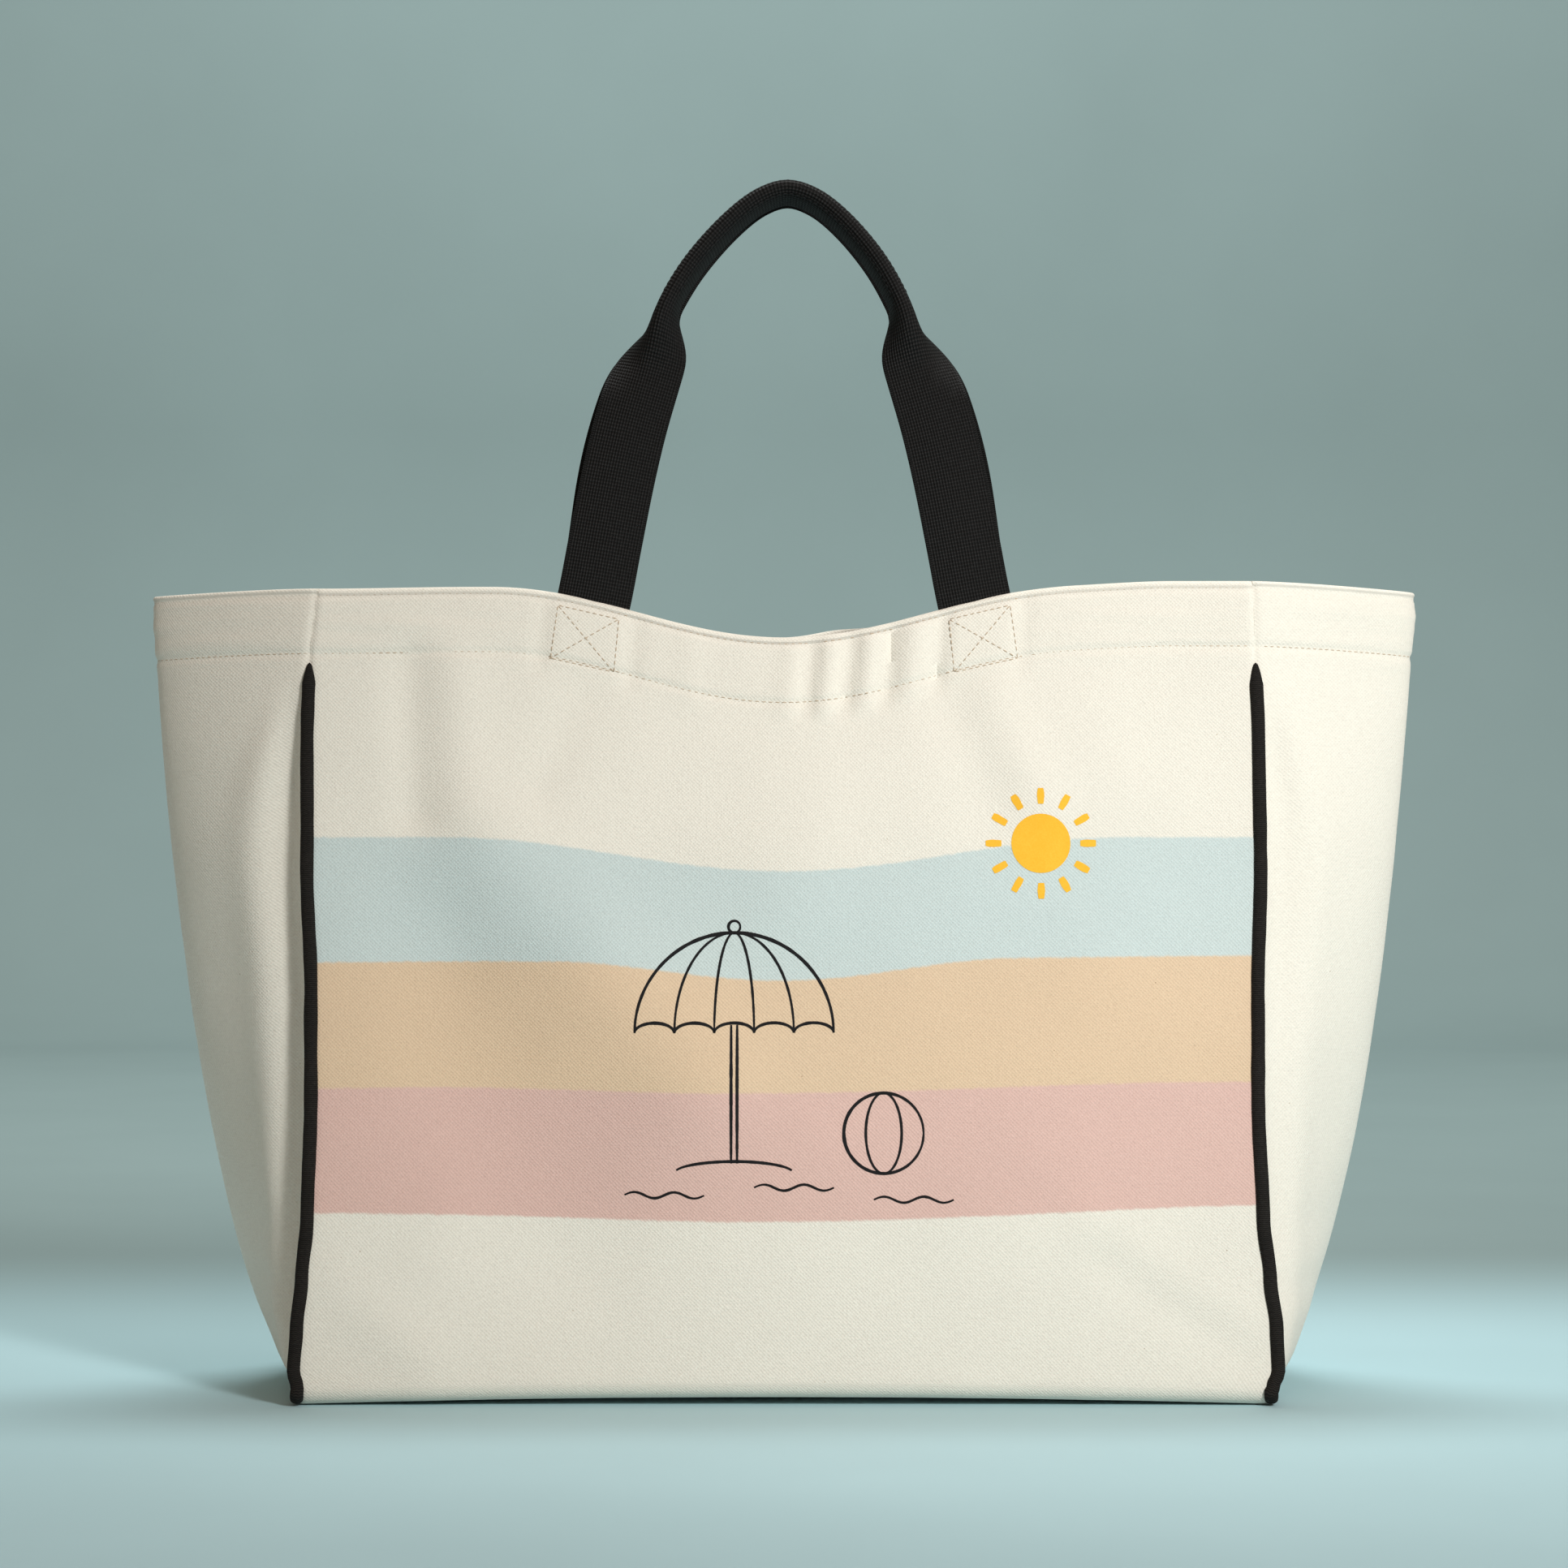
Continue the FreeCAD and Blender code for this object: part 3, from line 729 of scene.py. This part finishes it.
class BAG_OT_gussets(bpy.types.Operator):
    """Canvas gussets, each creased outwards, with their hems turned in"""
    bl_idname = "beach_bag.gussets"
    bl_label = "Gussets"

    def execute(self, context):
        s, c = sizes(), colours()
        outside = canvas_finish("Gusset_canvas", c.canvas)
        # Inside faces: the same canvas, painted darker and warmer as shade inside the bag.
        shaded_inside = bpy.data.materials.get("Plain_canvas") or canvas_finish("Plain_canvas", c.shaded_inside)
        made = []
        rows = [("hem", v) for v in spaced((s.hem - s.side_fold, 0.006, 8), (0.006, 0.0008, 3))]
        rows += [("fold", math.pi * (1 - k / 8)) for k in range(9)]
        high = spaced((0.0012, 0.048, 32))
        rows += [("wall", v) for v in high + spaced((0.048, RIM - FOOT - 3 * MM, 90))[1:]]
        columns = edge_columns(50, GUSSET_HALF)
        f = s.side_fold
        for side_x, name in ((LEFT, "left"), (RIGHT, "right")):
            def place(t, row, side_x=side_x):
                kind, value = row
                top = gusset_rim(t, side_x) - f
                if kind == "wall":
                    z = top - value * (top - FOOT) / (RIM - FOOT - 3 * MM)
                    return gusset_point(t, z, side_x)
                turn = value if kind == "fold" else math.pi
                z = top + f * math.sin(turn) if kind == "fold" else top - value
                flat, out = gusset_flat(t, min(z, top), side_x)
                swell = gusset_swell(t, min(z, top), side_x) * (1.0 if kind == "fold" else smooth(s.hem, 0, value))
                point = flat + out * (swell - f * (1 - math.cos(turn)))
                return Vector((point.x, point.y, z))

            def cover(t, row, point):
                kind, value = row
                run = {"wall": RIM - value, "fold": RIM + 0.01 + 0.0015 * value, "hem": RIM + 0.03 + value}[kind]
                return t * GUSSET_HALF, run

            bm = bmesh.new()
            woven_sheet(bm, columns, rows, place, cover, flip=side_x == RIGHT)
            gusset = piece(name + "_gusset_cloth", bm, outside, inner=shaded_inside, wall=s.cloth, soften=0.25 * MM)
            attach(gusset, "bag")
            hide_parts(name + "_gusset", name + "_hem")
            made.append(gusset)
        return ready(self, *made)


class BAG_OT_bindings(bpy.types.Operator):
    """Black tape over each bound seam, from the front under the gusset to the back"""
    bl_idname = "beach_bag.bindings"
    bl_label = "Seam tape"

    def execute(self, context):
        s = sizes()
        finish = tape_finish()
        made = []
        corner = 5 * MM
        under = FOOT
        for side_x, name in ((LEFT, "left"), (RIGHT, "right")):
            line = []
            for side in (FRONT, BACK):
                run = []
                for z in spaced((TAPE_TOP, TAPE_TOP - 0.012, 12), (TAPE_TOP - 0.012, under + corner, 120)):
                    y = depth_at(z) + swell_at(HALF_WIDTH * 0.985, z, side) - 0.5 * MM
                    run.append((Vector((side_x * (HALF_WIDTH + seam_shift(z, side_x)), side * y, z)),
                                Vector((0, side, 0.1)), TAPE_TOP - z))
                centre = Vector((side_x * (HALF_WIDTH + 2.6 * MM), side * (depth_at(under) - corner), under + corner))
                for k in range(1, 7):
                    turn = math.pi / 2 * k / 6
                    run.append((centre + Vector((side_x * k * 0.12 * MM, side * corner * math.cos(turn),
                                                 -corner * math.sin(turn))),
                                Vector((0, side * math.cos(turn), -math.sin(turn))), TAPE_TOP))
                line += run if side == FRONT else [
                    (Vector((side_x * (HALF_WIDTH + 3.4 * MM), y, under)), Vector((0, 0, -1)), TAPE_TOP)
                    for y in spaced((-0.085, 0.085, 28))] + run[::-1]
            runs, gone = [0.0], 0.0
            for (a, _, _), (b, _, _) in zip(line, line[1:]):
                gone += (b - a).length
                runs.append(gone)

            def place(part, k, line=line, side_x=side_x):
                middle, out, from_top = line[k]
                point_in = math.sqrt(min(1.0, max(0.0, from_top / 0.011)))
                width = (s.tape_width / 2 + 0.25 * MM * ruffle(20 + side_x, k * 0.21)) * point_in
                across = Vector((1, 0, 0))
                along = (line[min(k + 1, len(line) - 1)][0] - line[max(k - 1, 0)][0]).normalized()
                across = (across - along * across.dot(along)).normalized()
                turn = 2 * math.pi * part
                high = s.tape_height * point_in * (1 + 0.12 * ruffle(24 + side_x, k * 0.33))
                rise = math.sin(turn)
                rise = high * rise ** 0.8 if rise > 0 else 0.5 * MM * rise
                return middle + across * (width * math.cos(turn)) + out.normalized() * rise

            bm = bmesh.new()
            woven_sheet(bm, spaced((0.0, 1.0, 16)), list(range(len(line))), place,
                        lambda part, k, point, runs=runs: (part * 0.016, runs[k]))
            tape = piece(name + "_seam_tape", bm, finish, merge=0.01 * MM)
            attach(tape, "bag")
            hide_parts(f"front_{name}_binding", f"back_{name}_binding", f"{name}_base_binding")
            made.append(tape)
        return ready(self, *made)


def spline(points, steps):
    """Smooth run through points, with steps(a, b) stops between each pair, and the last point left out."""
    points = [points[0]] + points + [points[-1]]
    run = []
    for p0, p1, p2, p3 in zip(points, points[1:], points[2:], points[3:]):
        count = steps(p1, p2)
        for t in (k / count for k in range(count)):
            run.append(tuple(0.5 * (2 * b + (c - a) * t + (2 * a - 5 * b + 4 * c - d) * t * t
                                    + (3 * b - a - 3 * c + d) * t ** 3) for a, b, c, d in zip(p0, p1, p2, p3)))
    return run


def handle_line(count):
    """Evenly spaced (x, rise, heading, distance) along a handle's middle line, end to end."""
    top = (CROWN - PIVOT["front"].z) / MM / math.cos(HANDLE_LEAN)
    half = [(105.9, -42.0), (97.7, -9.5), (91.8, 22), (85.5, 55), (79.4, 82), (72.5, 107), (66.0, 129),
            (58.6, 148), (48.2, 166.5), (35.0, 183.3), (21.5, 196.4), (10.5, 203.4), (0.0, top - 6.0)]
    points = [(-x, z) for x, z in half] + [(x, z) for x, z in half[-2::-1]]
    fine = [(x * MM, z * MM) for x, z in spline(points, lambda a, b: 24) + [points[-1]]]
    runs = [0.0]
    for (ax, az), (bx, bz) in zip(fine, fine[1:]):
        runs.append(runs[-1] + math.hypot(bx - ax, bz - az))
    line, i = [], 0
    for k in range(count + 1):
        want = runs[-1] * k / count
        while i < len(runs) - 2 and runs[i + 1] < want:
            i += 1
        t = (want - runs[i]) / max(1e-9, runs[i + 1] - runs[i])
        (ax, az), (bx, bz) = fine[i], fine[i + 1]
        line.append((ax + (bx - ax) * t, az + (bz - az) * t, want))
    made = []
    for k, (x, z, want) in enumerate(line):
        (ax, az, _), (bx, bz, _) = line[max(0, k - 1)], line[min(count, k + 1)]
        made.append((x, z, math.atan2(bz - az, bx - ax), want))
    return made


def strap_section(across, folded):
    """Sideways and backward place of a point across the webbing, which rolls up as folded goes from 0 to 1."""
    steps = 24
    x = y = 0.0
    for k in range(steps):
        at = across * (k + 0.5) / steps
        turn = folded * 1.12 * math.pi / 2 * math.tanh(at / (4.8 * MM))
        x += math.cos(turn) * across / steps
        y += math.sin(turn) * across / steps
    return x, y


def handle_point(side, station, across, proud=0.0):
    """Point on a handle's webbing. side is FRONT or BACK."""
    x, rise, heading, run = station
    closed = smooth(0.112, 0.150, rise)
    spread = 1.0
    if side == BACK:
        spread += 0.036 * smooth(0.155, 0.10, rise) + 0.03 * hump(rise, 0.072, 0.045)

    def rolled(at):
        half = smooth(0.090, 0.153, rise) if at > 0 else closed
        return strap_section(at, half + 0.05 * (1 - half))

    u, v = rolled(across)
    v -= strap_section(sizes().webbing_width / 2, closed)[1] / 2
    if proud:
        (u1, v1), (u2, v2) = rolled(across - 0.5 * MM), rolled(across + 0.5 * MM)
        size = math.hypot(u2 - u1, v2 - v1)
        u, v = u + proud * (v2 - v1) / size, v - proud * (u2 - u1) / size
    # Outer side of the arch is positive u; the spine turns a little towards it.
    twist = 0.30 * closed
    u, v = u * math.cos(twist) - v * math.sin(twist), u * math.sin(twist) + v * math.cos(twist)
    v -= 1.3 * MM * closed + 0.35 * MM * (1 - closed) * smooth(0.02, 0.10, rise)
    v += 0.8 * MM * ruffle(30 + side, rise * 20, x * 5) * smooth(0.02, 0.08, rise) * (1 - closed)
    out_x, out_z = -math.sin(heading), math.cos(heading)
    px, pz = x * spread + out_x * u + 1.8 * MM * smooth(0.13, 0.205, rise), rise + out_z * u
    pivot = PIVOT["front" if side == FRONT else "back"]
    lean = Vector((0, -side * math.sin(HANDLE_LEAN), math.cos(HANDLE_LEAN)))
    inward = Vector((0, -side * math.cos(HANDLE_LEAN), -math.sin(HANDLE_LEAN)))
    return pivot + Vector((px, 0, 0)) + lean * pz + inward * (STRAP_SETBACK + v)


class BAG_OT_webbing(bpy.types.Operator):
    """The two handles: flat webbing legs, folded in half over the grip"""
    bl_idname = "beach_bag.webbing"
    bl_label = "Handle webbing"

    def execute(self, context):
        s = sizes()
        finish = webbing_finish()
        stations = handle_line(190)
        half = s.webbing_width / 2
        made = []
        for side, name in ((FRONT, "front"), (BACK, "back")):
            bm = bmesh.new()
            woven_sheet(bm, spaced((-half, half, 22)), stations,
                        lambda across, station, side=side: handle_point(side, station, across),
                        lambda across, station, point: (across, station[3]), flip=side == FRONT)
            strap = piece(name + "_handle_webbing", bm, finish, wall=s.webbing, soften=0.55 * MM)
            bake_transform(strap)
            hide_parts(name + "_handle_strap", f"{name}_left_handle_end", f"{name}_right_handle_end")
            made.append(strap)
        return ready(self, *made)


class BAG_OT_stitching(bpy.types.Operator):
    """Rows of stitches round the rim and hem, boxes over the strap ends, and the thread along each grip"""
    bl_idname = "beach_bag.stitching"
    bl_label = "Stitching"

    def row(self, bm, drop, inside):
        s = sizes()
        size = (2.7 * MM, s.thread, s.thread * 0.8)
        count = 160
        for side in (FRONT, BACK):
            line = []
            for k in range(count + 1):
                part = (-1 + 2 * k / count) * 0.996
                x = part * HALF_WIDTH
                z = rim_at(x, side) - drop
                point = panel_point(x, z, side)
                if inside:
                    f = s.rim_fold
                    point = body_point(part, "hem", drop - f, side)
                line.append((point, Vector((0, -side if inside else side, 0.0))))
            stitches(bm, line, s.pitch, size)
        for side_x in (LEFT, RIGHT):
            line = []
            for k in range(count // 2 + 1):
                t = (-1 + 2 * k / (count // 2)) * 0.99
                z = gusset_rim(t, side_x) - drop
                flat, out = gusset_flat(t, z, side_x)
                swell = gusset_swell(t, z, side_x)
                if inside:
                    swell = swell * smooth(s.hem, 0, drop) - 2 * s.side_fold
                    out_now = -out
                else:
                    out_now = out
                line.append((flat + out * swell, out_now))
            stitches(bm, line, s.pitch, size)

    def execute(self, context):
        s, c = sizes(), colours()
        cream = thread_finish("Cream_thread", c.thread)
        black = thread_finish("Black_thread", [x * 1.6 for x in c.webbing])
        made = []
        for name, drop, node in (("rim_stitches", s.top_row, "rim_stitching"),
                                 ("hem_stitches", s.low_row, "hem_stitching")):
            bm = bmesh.new()
            for inside in (False, True):
                self.row(bm, drop, inside)
            row = piece(name, bm, cream)
            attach(row, "bag")
            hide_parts(node)
            made.append(row)
        bm = bmesh.new()
        size = (2.7 * MM, s.thread, s.thread * 0.8)
        for side in (FRONT, BACK):
            for side_x in (LEFT, RIGHT):
                corners = []
                for drop, middle, half in ((6.4, 100.0, 15.6), (34.2, 103.0, 16.2)):
                    for way in (-1, 1):
                        x = (side_x * middle * (1.0 if side == FRONT else 1.036) + way * half) * MM
                        corners.append((x, rim_at(x, side) - drop * MM))
                top_l, top_r, low_l, low_r = corners
                for (ax, az), (bx, bz) in ((top_l, top_r), (top_l, low_l), (top_r, low_r), (low_l, low_r),
                                           (top_l, low_r), (top_r, low_l)):
                    line = []
                    for k in range(13):
                        x, z = ax + (bx - ax) * k / 12, az + (bz - az) * k / 12
                        line.append((panel_point(x, z, side), Vector((0, side, 0))))
                    stitches(bm, line, s.pitch, size)
        boxes = piece("strap_box_stitches", bm, cream)
        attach(boxes, "bag")
        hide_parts("handle_end_stitching")
        made.append(boxes)
        stations = [p for p in handle_line(190) if p[1] > 0.150]
        for side, name in ((FRONT, "front"), (BACK, "back")):
            bm = bmesh.new()
            for across in (4.6 * MM, -4.6 * MM):
                line = []
                for station in stations:
                    a = handle_point(side, station, across, 1.05 * MM)
                    b = handle_point(side, station, across, 2.0 * MM)
                    line.append((a, (b - a).normalized()))
                stitches(bm, line, 3.4 * MM, (2.5 * MM, 0.8 * MM, 0.55 * MM))
            row = piece(name + "_grip_stitches", bm, black)
            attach(row, name + "_handle")
            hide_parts(name + "_grip_stitching")
            made.append(row)
        return ready(self, *made)


def arc(middle, wide, high, start, end, count=13):
    """Points along part of an ellipse, between two angles in degrees."""
    turns = [math.radians(start + (end - start) * k / (count - 1)) for k in range(count)]
    return [(middle[0] + wide * math.cos(a), middle[1] + high * math.sin(a)) for a in turns]


def motif():
    """Pen widths and lines, in millimetres, of an upright parasol, a ball and three ripples."""
    mast, edge, half, rise = -25.0, 185.0, 50.0, 50.0
    lines = [(1.5, arc((mast, edge), half, rise, 180, 0, 25)), (1.2, arc((mast, edge + rise + 3), 3, 3, 0, 360))]
    lines += [(1.3, arc((mast + 20 * k, edge), 10, 5, 180, 0)) for k in range(-2, 3)]
    lines += [(1.1, arc((mast, edge), wide, rise, 0, 90)) for wide in (-30, -10, 10, 30)]
    lines += [(1.3, [(mast + way, edge + 4), (mast + way, 150.0), (mast + way, 120.0)]) for way in (-1.5, 1.5)]
    lines += [(1.3, arc((mast, 115), 30, 6, 165, 15)), (1.4, arc((50, 135), 20, 20, 0, 360, 33))]
    lines += [(1.1, arc((50, 135), wide, 20, -90, 90)) for wide in (-9, 9)]
    for left, low in ((-80, 104), (-15, 108), (45, 102)):
        lines.append((1.1, [(left + 2.5 * k, low + 1.5 * math.sin(k * math.pi / 4)) for k in range(17)]))
    return lines


class BAG_OT_print(bpy.types.Operator):
    """Plain line work of a parasol, ball and ripples, and a sun, printed on the front"""
    bl_idname = "beach_bag.print"
    bl_label = "Print"

    def stroke(self, bm, width, points):
        """Pen stroke along points, in millimetres, thinner at its ends."""
        line = spline(points, lambda a, b: max(3, int(math.dist(a, b) / 1.4))) + [points[-1]]
        count = len(line)

        def place(way, k):
            (ax, az), (bx, bz) = line[max(0, k - 1)], line[min(count - 1, k + 1)]
            size = max(1e-6, math.hypot(bx - ax, bz - az))
            pen = 0.62 * width * (0.55 + 0.45 * math.sin(math.pi * (k + 0.6) / (count + 0.2)) ** 0.6)
            pen *= 1 + 0.18 * ruffle(40, line[k][0] * 0.3, line[k][1] * 0.3)
            x = line[k][0] - (bz - az) / size * pen * way
            z = line[k][1] + (bx - ax) / size * pen * way
            return panel_point(x * MM, z * MM, FRONT, 0.16 * MM)

        woven_sheet(bm, [-1.0, 1.0], list(range(count)), place, lambda way, k, point: (way * 0.001, k * 0.001))

    def face_front(self, bm):
        for face in bm.faces:
            if face.normal.y > 0:
                face.normal_flip()

    def disc(self, bm, middle, radius, count=40, rings=7):
        """Round patch lying on the front cloth."""
        def place(angle, ring):
            x = middle[0] + radius * ring * math.cos(angle)
            z = middle[1] + radius * ring * math.sin(angle)
            return panel_point(x * MM, z * MM, FRONT, 0.18 * MM)
        woven_sheet(bm, spaced((0.0, 2 * math.pi, count)), spaced((0.0, 1.0, rings)), place,
                    lambda angle, ring, point: (ring * math.cos(angle) * MM, ring * math.sin(angle) * MM), flip=True)

    def execute(self, context):
        c = colours()
        made = []
        bm = bmesh.new()
        for width, points in motif():
            self.stroke(bm, width, points)
        bmesh.ops.recalc_face_normals(bm, faces=bm.faces[:])
        self.face_front(bm)
        drawing = piece("printed_drawing", bm, print_finish("Black_ink", c.ink))
        made.append(drawing)
        bm = bmesh.new()
        middle = (130.0, 280.0)
        self.disc(bm, middle, 15.0)
        for k in range(12):
            turn = math.pi / 6 * k
            self.stroke(bm, 3.0, [(middle[0] + r * math.cos(turn), middle[1] + r * math.sin(turn))
                                  for r in (20.0, 24.0, 28.0)])
        bmesh.ops.remove_doubles(bm, verts=bm.verts[:], dist=0.005 * MM)
        self.face_front(bm)
        made.append(piece("printed_sun", bm, print_finish("Sun_ink", c.sun, [1.0, 0.60, 0.07])))
        for thing in made:
            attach(thing, "bag")
        return ready(self, *made)


class BAG_OT_stage(bpy.types.Operator):
    """Pale floor curving up into a plain backdrop, soft lights and the camera"""
    bl_idname = "beach_bag.stage"
    bl_label = "Stage"

    def execute(self, context):
        c = colours()
        profile = [(-5.0, 0.0), (0.0, 0.0), (2.7, 0.0)]
        profile += [(2.8 + 0.8 * math.sin(a), 0.8 - 0.8 * math.cos(a)) for a in spaced((0.0, math.pi / 2, 14))]
        profile += [(3.6, 3.0), (3.6, 5.0)]
        bm = bmesh.new()
        woven_sheet(bm, [-6.0, 6.0], profile, lambda x, p: Vector((x, p[0], p[1] - 0.4 * MM)),
                    lambda x, p, point: (x, p[0] + p[1]))
        made = Finish("Painted_backdrop", Roughness=0.85, Specular_IOR_Level=0.2)
        where = made.node("ShaderNodeTexCoord", output=3)
        apart = made.node("ShaderNodeSeparateXYZ", inputs={0: where})
        back = Signal(made.tree, apart.socket.node.outputs[1])
        cloud = made.noise(where, 3.0, 3.0)
        tone = made.blend(made.step(back + (cloud - 0.5) * 0.05, 0.12, 0.62), c.floor, c.wall)
        made.feed(Base_Color=made.blend(1.0, tone, made.grey(0.97 + (cloud - 0.5) * 0.12), "MULTIPLY"))
        made.bump(made.noise(where, 160.0, 3.0), 0.08, 1 * MM)
        stage = piece("studio_sweep", bm, made.material)

        world = bpy.data.worlds.new("Studio")
        context.scene.world = world
        world.use_nodes = True
        sky = world.node_tree.nodes["Background"]
        sky.inputs["Color"].default_value = (1.0, 0.73, 0.57, 1.0)
        sky.inputs["Strength"].default_value = 0.275
        for name, place, aim, size, power, tint in (
                ("Key", (1.2, -2.0, 1.45), (0.05, 0, 0.25), 0.7, 22.0, (1.0, 0.985, 0.97)),
                ("Spot", (1.2, -1.9, 1.35), (0.15, 0, 0.28), 0.45, 144.0, (1.0, 0.985, 0.97)),
                ("Fill", (-2.2, -1.0, 0.7), (0, 0, 0.25), 1.2, 1.5, (1.0, 0.80, 0.68)),
                ("Wall", (0.0, 1.0, 3.2), (0, 3.6, 0.9), 2.0, 130.0, (0.94, 1.0, 1.0))):
            lamp = bpy.data.lights.new(name, "SPOT" if name == "Spot" else "AREA")
            lamp.energy, lamp.color = power, tint
            if name == "Spot":
                lamp.shadow_soft_size, lamp.spot_size, lamp.spot_blend = size / 2, math.radians(29), 1.0
            else:
                lamp.shape, lamp.size = "DISK", size
            lamp_object = bpy.data.objects.new(name, lamp)
            lamp_object.location = place
            lamp_object.rotation_euler = (Vector(aim) - Vector(place)).to_track_quat("-Z", "Y").to_euler()
            context.scene.collection.objects.link(lamp_object)

        camera = bpy.data.cameras.new("Camera")
        camera.sensor_width = 36.0
        camera.lens = 96.9
        camera.dof.use_dof = False
        eye = bpy.data.objects.new("Camera", camera)
        eye.location = (0.0, -2.2, 0.31)
        eye.rotation_euler = (math.pi / 2, 0.0, 0.0)
        context.scene.collection.objects.link(eye)
        context.scene.camera = eye
        context.scene.view_settings.view_transform = "Standard"
        return ready(self, stage)


STEPS = (BAG_OT_body, BAG_OT_gussets, BAG_OT_bindings, BAG_OT_webbing, BAG_OT_stitching, BAG_OT_print, BAG_OT_stage)


class BAG_PT_pieces(bpy.types.Panel):
    """Sizes, colours and the steps that build the bag"""
    bl_label = "Beach Bag"
    bl_idname = "BAG_PT_pieces"
    bl_space_type = "VIEW_3D"
    bl_region_type = "UI"
    bl_category = "Beach Bag"

    def draw(self, context):
        for group in (context.scene.bag_sizes, context.scene.bag_colours):
            box = self.layout.box()
            for key in group.bl_rna.properties.keys():
                if key not in ("rna_type", "name"):
                    box.prop(group, key)
        for step in STEPS:
            self.layout.operator(step.bl_idname)


CLASSES = (BagSizes, BagColours, *STEPS, BAG_PT_pieces)


def register():
    for each in CLASSES:
        bpy.utils.register_class(each)
    bpy.types.Scene.bag_sizes = bpy.props.PointerProperty(type=BagSizes)
    bpy.types.Scene.bag_colours = bpy.props.PointerProperty(type=BagColours)


def unregister():
    del bpy.types.Scene.bag_colours
    del bpy.types.Scene.bag_sizes
    for each in reversed(CLASSES):
        bpy.utils.unregister_class(each)


def main():
    register()
    bpy.ops.beach_bag.body()
    bpy.ops.beach_bag.gussets()
    bpy.ops.beach_bag.bindings()
    bpy.ops.beach_bag.webbing()
    bpy.ops.beach_bag.stitching()
    bpy.ops.beach_bag.print()
    bpy.ops.beach_bag.stage()


if __name__ == "__main__":
    main()
